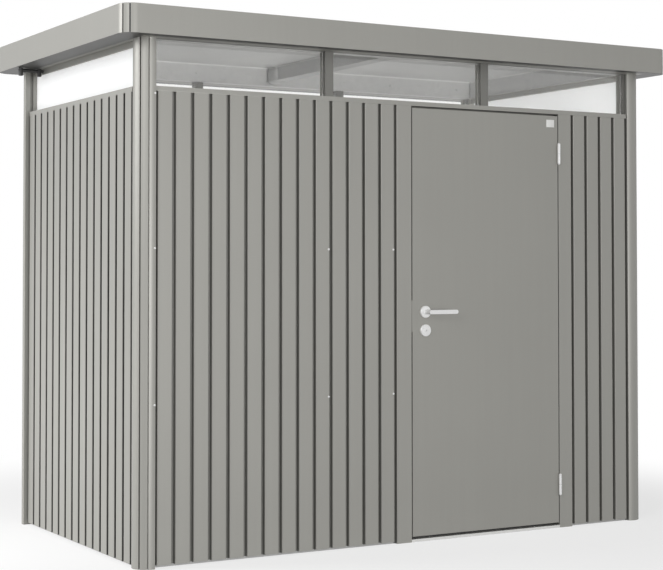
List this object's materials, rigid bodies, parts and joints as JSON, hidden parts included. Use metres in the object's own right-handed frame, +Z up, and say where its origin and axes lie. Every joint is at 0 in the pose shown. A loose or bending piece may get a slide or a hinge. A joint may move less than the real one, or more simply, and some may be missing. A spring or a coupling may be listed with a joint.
{
  "type": "metal storage shed",
  "caption": "Flat-roofed sheet-steel garden shed with ribbed walls, fluted round corner posts, a window band under an overhanging roof and an outward-opening door with a lever handle.",
  "frame": {"origin": "on the ground at the middle of the plan", "axes": "+Z up, -Y out of the door side, +X to the right seen from the door side"},
  "size_m": [2.756, 1.532, 2.203],
  "materials": {
    "grey_paint": "satin metallic grey",
    "door_paint": "satin metallic grey",
    "galvanised_inner": "pale grey inner coat",
    "clear_acrylic": "clear acrylic",
    "side_acrylic": "white opal acrylic",
    "stainless": "brushed",
    "sill_aluminium": "mill",
    "black_plastic": "matte"
  },
  "bodies": {
    "shed": {"post_front_left": "grey_paint", "post_front_right": "grey_paint", "post_back_right": "grey_paint", "post_back_left": "grey_paint", "front_sheet_wide": "grey_paint", "front_sheet_left": "grey_paint", "front_sheet_right": "grey_paint", "left_sheet": "grey_paint", "right_sheet": "grey_paint", "back_sheet_left": "grey_paint", "back_sheet_middle": "grey_paint", "back_sheet_right": "grey_paint", "base_rail_front_left": "galvanised_inner", "base_rail_front_right": "galvanised_inner", "base_rail_back": "galvanised_inner", "base_rail_left": "galvanised_inner", "base_rail_right": "galvanised_inner", "sill_rail_front": "grey_paint", "sill_rail_back": "grey_paint", "sill_rail_left": "grey_paint", "sill_rail_right": "grey_paint", "jamb_left": "grey_paint", "jamb_right": "grey_paint", "threshold": "sill_aluminium", "front_mullions": "grey_paint", "back_mullions": "grey_paint", "front_panes": "clear_acrylic", "back_panes": "clear_acrylic", "left_pane": "side_acrylic", "right_pane": "side_acrylic", "side_head_rails": "grey_paint", "beam_front": "galvanised_inner", "beam_back": "galvanised_inner", "beam_left": "galvanised_inner", "beam_right": "galvanised_inner", "rafter": "galvanised_inner", "roof_deck": "galvanised_inner", "fascia_front": "grey_paint", "fascia_back": "grey_paint", "fascia_left": "grey_paint", "fascia_right": "grey_paint", "fascia_corners": "grey_paint", "rain_outlets": "black_plastic", "hinge_frame_halves": "stainless"},
    "door": {"door_leaf": "door_paint", "door_roses": "stainless", "hinge_leaf_halves": "stainless"},
    "lever": {"door_lever": "stainless"}
  },
  "joints": [
    {"name": "door_swing", "type": "hinge", "parent": "shed", "child": "door", "pos_m": [0.7975, -0.68, 0.95], "axis": [0, 0, 1], "range_deg": [0, 110]},
    {"name": "lever_turn", "type": "hinge", "parent": "door", "child": "lever", "pos_m": [0.07, -0.672, 0.987], "axis": [0, 1, 0], "range_deg": [0, 40], "stiffness_Nm_per_rad": 1.5, "springref_deg": -20.05}
  ]
}
